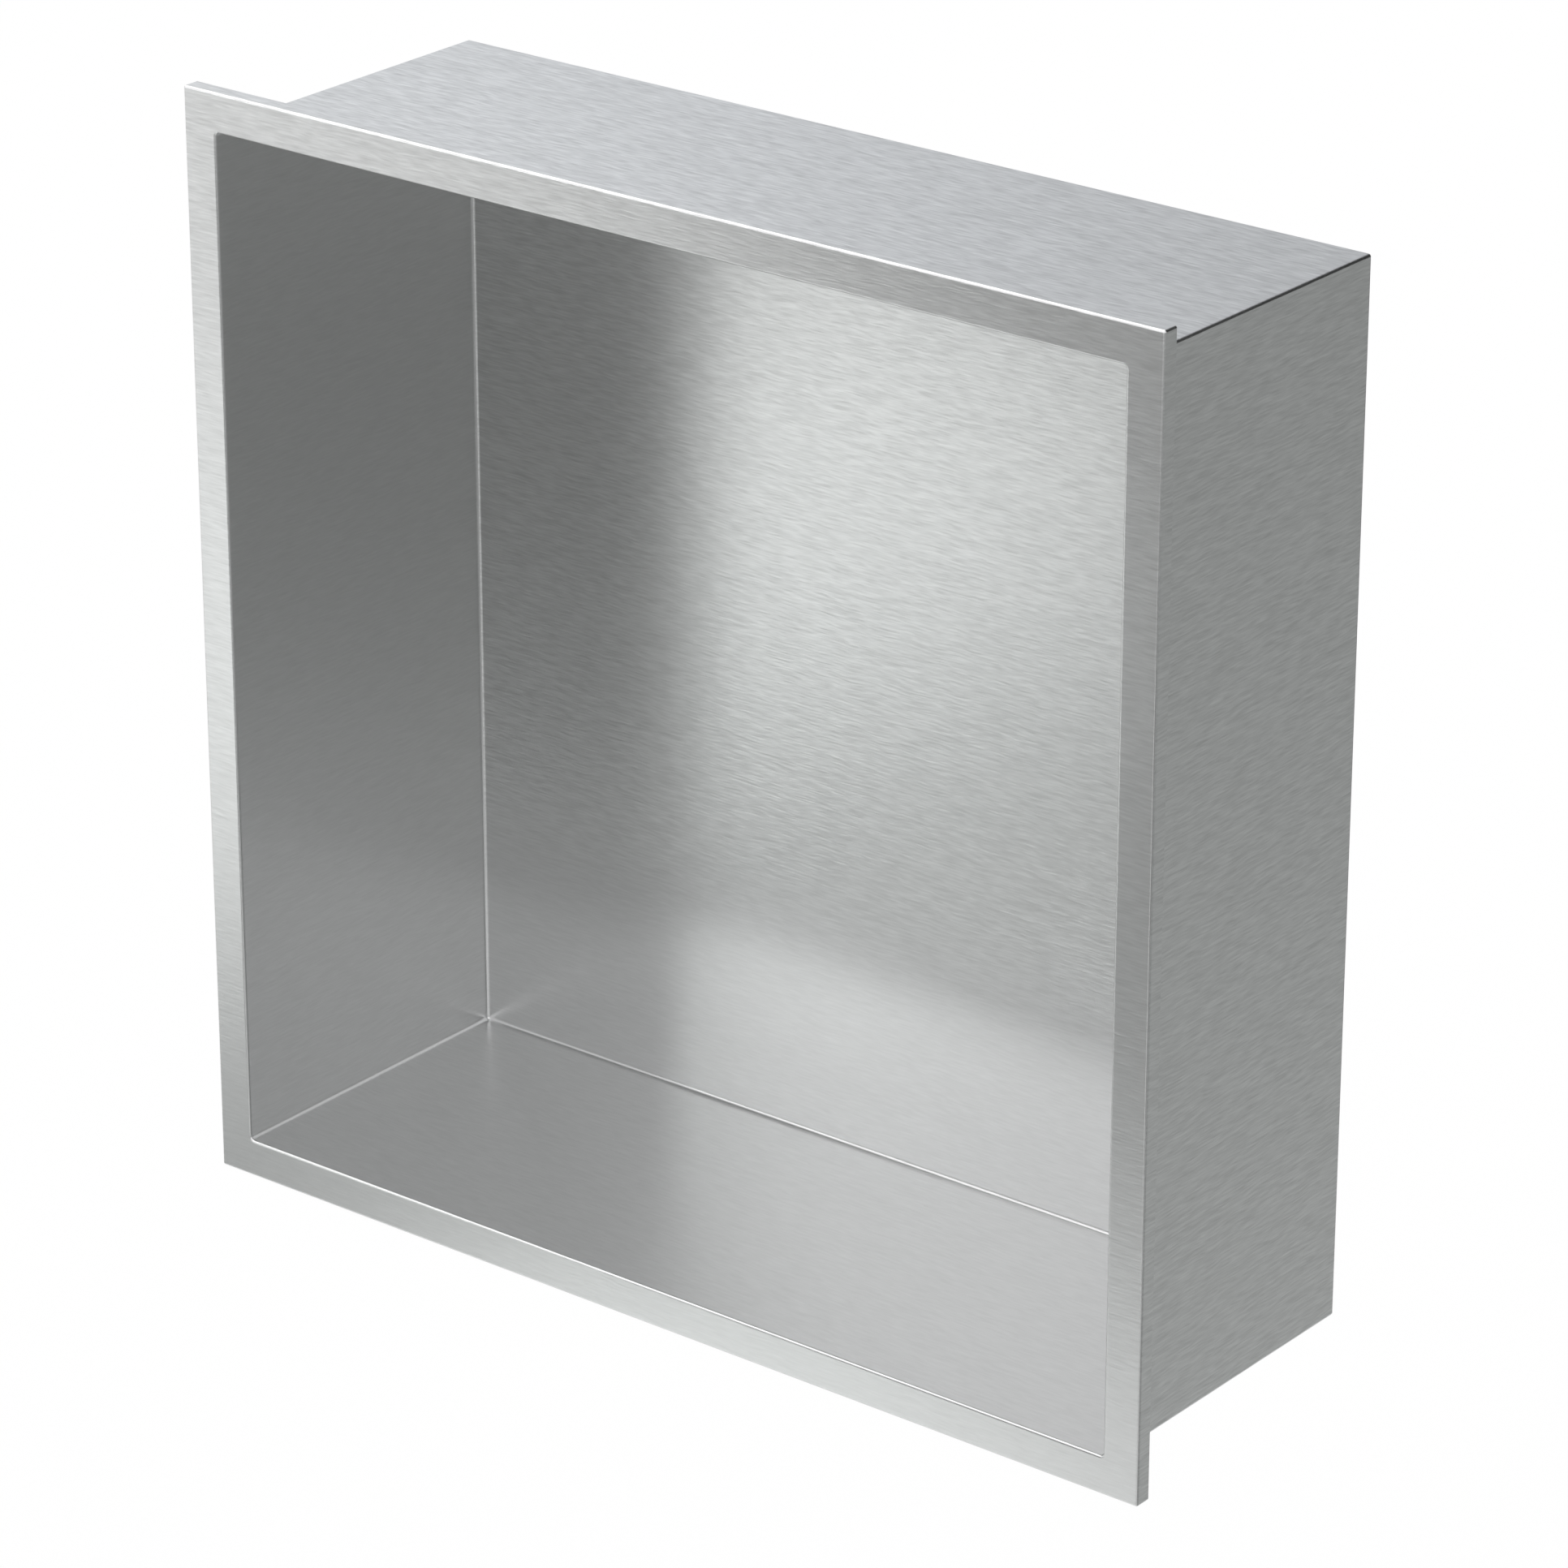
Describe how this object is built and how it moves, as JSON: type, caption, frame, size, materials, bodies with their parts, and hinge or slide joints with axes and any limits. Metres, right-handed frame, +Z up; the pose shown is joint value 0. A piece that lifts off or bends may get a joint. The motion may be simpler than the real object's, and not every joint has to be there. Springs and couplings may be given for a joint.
{
  "type": "shower niche insert",
  "caption": "Square recessed shelf box of brushed stainless sheet with a narrow turned-back flange, set into a shower wall to hold bottles and soap.",
  "frame": {"origin": "centre of the opening on the wall's face, the plane of the flange lip's rear edge", "axes": "+X to the right seen from the room, +Y into the wall, +Z up"},
  "size_m": [0.3276, 0.1066, 0.3276],
  "materials": {
    "brushed_stainless": "fine straight brushed grain, satin"
  },
  "bodies": {
    "root": {"niche_insert": "brushed_stainless"}
  },
  "joints": []
}
